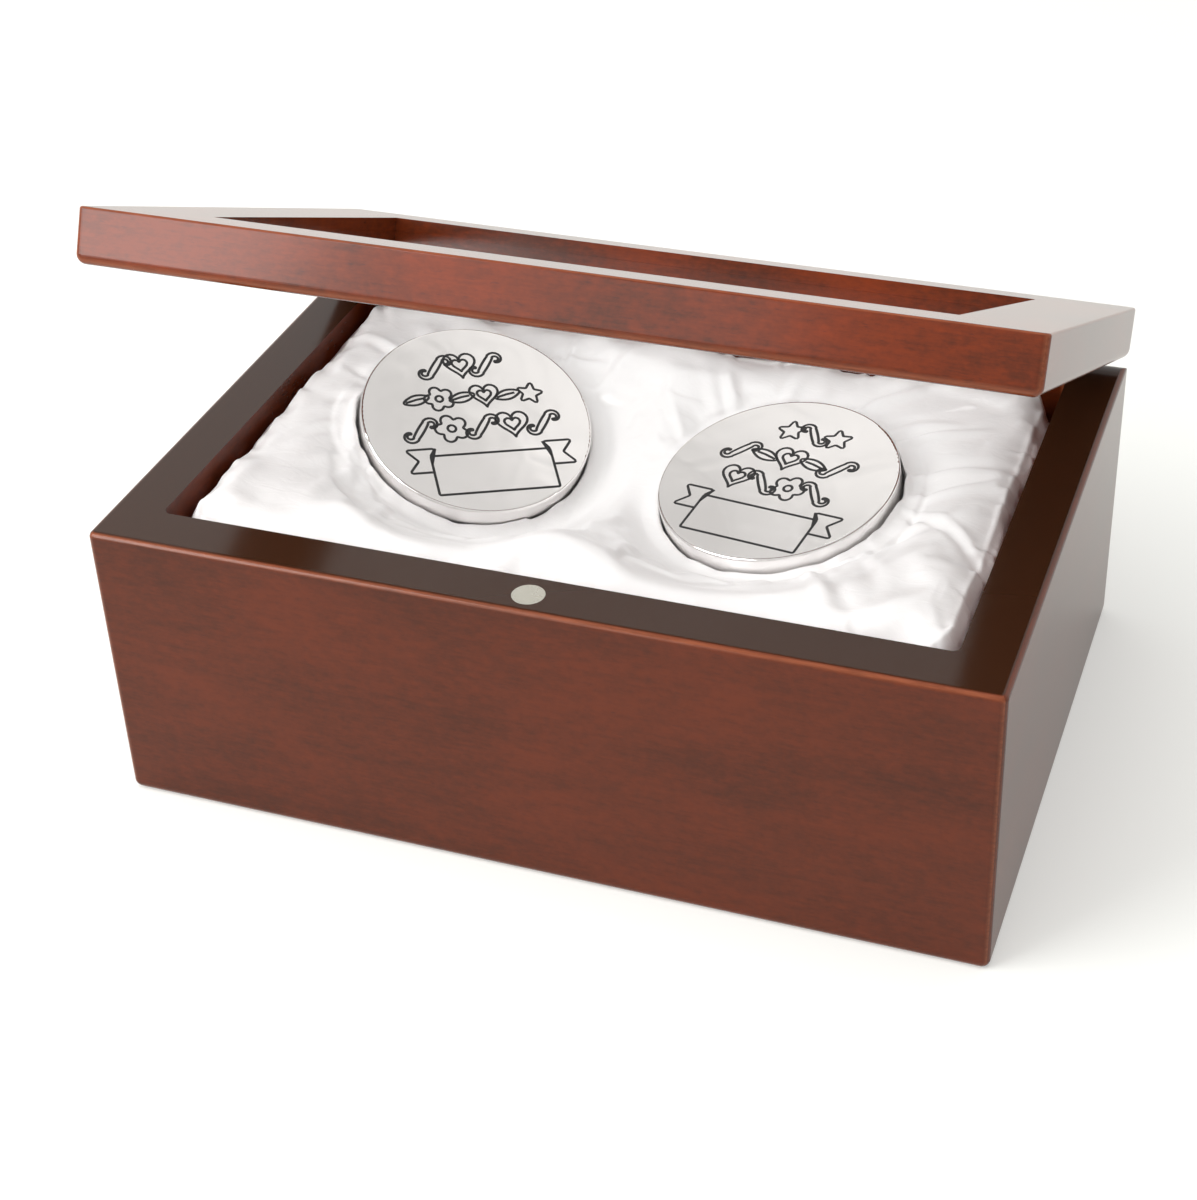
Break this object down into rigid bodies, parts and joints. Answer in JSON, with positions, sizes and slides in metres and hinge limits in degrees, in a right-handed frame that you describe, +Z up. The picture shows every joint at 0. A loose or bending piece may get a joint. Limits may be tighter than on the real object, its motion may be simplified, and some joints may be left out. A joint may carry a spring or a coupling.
{
  "type": "keepsake box",
  "caption": "Mitred wooden keepsake box with a glazed hinged lid standing ajar, a white satin pad and two lidded silver-plated tins leaning in their pockets.",
  "frame": {"origin": "centre of the box's underside, on the surface it stands on", "axes": "+X to the right of someone facing the front, along the box's length; +Y to the hinged back; +Z up"},
  "size_m": [0.17, 0.1198, 0.1185],
  "materials": {
    "rosewood_lacquer": "satin lacquer over red-brown wood, straight horizontal grain",
    "glazing_wood": "red-brown wood, thin lacquer",
    "plywood": "plain sanded plywood",
    "felt": "dark brown felt",
    "steel_magnet": "nickel plated",
    "foam": "open-cell foam",
    "satin": "white satin, soft sheen",
    "brass": "brushed brass",
    "clear_glass": "clear float glass",
    "steel": "drawn steel",
    "silver_plate": "bright silver plate"
  },
  "bodies": {
    "box": {"base_front_panel": "rosewood_lacquer", "base_back_panel": "rosewood_lacquer", "base_left_panel": "rosewood_lacquer", "base_right_panel": "rosewood_lacquer", "base_board": "plywood", "base_felt": "felt", "base_magnet": "steel_magnet", "insert_foam": "foam", "satin_pad": "satin", "hinge_left_base_leaf": "brass", "hinge_right_base_leaf": "brass", "hinge_left_pin": "brass", "hinge_right_pin": "brass", "base_hinge_screws": "brass"},
    "lid": {"lid_front_rail": "rosewood_lacquer", "lid_back_rail": "rosewood_lacquer", "lid_left_rail": "rosewood_lacquer", "lid_right_rail": "rosewood_lacquer", "lid_pane": "clear_glass", "glazing_bead_front": "glazing_wood", "glazing_bead_back": "glazing_wood", "glazing_bead_left": "glazing_wood", "glazing_bead_right": "glazing_wood", "glazing_brads": "steel", "lid_magnet": "steel_magnet", "hinge_left_lid_leaf": "brass", "hinge_right_lid_leaf": "brass", "lid_hinge_screws": "brass"},
    "left_tin": {"left_tin_cup": "silver_plate"},
    "left_cover": {"left_tin_cover": "silver_plate"},
    "right_tin": {"right_tin_cup": "silver_plate"},
    "right_cover": {"right_tin_cover": "silver_plate"}
  },
  "joints": [
    {"name": "lid_hinge", "type": "hinge", "parent": "box", "child": "lid", "pos_m": [0, 0.05855, 0.0601], "axis": [-1, 0, 0], "range_deg": [-25.1, 74.9]},
    {"name": "left_tin_lift", "type": "slide", "parent": "box", "child": "left_tin", "axis": [0.3272, -0.2414, 0.9136], "range_m": [0, 0.018]},
    {"name": "left_cover_lift", "type": "slide", "parent": "left_tin", "child": "left_cover", "axis": [0.3272, -0.2414, 0.9136], "range_m": [0, 0.018]},
    {"name": "right_tin_lift", "type": "slide", "parent": "box", "child": "right_tin", "axis": [-0.1184, -0.1673, 0.9788], "range_m": [0, 0.018]},
    {"name": "right_cover_lift", "type": "slide", "parent": "right_tin", "child": "right_cover", "axis": [-0.1184, -0.1673, 0.9788], "range_m": [0, 0.018]}
  ]
}
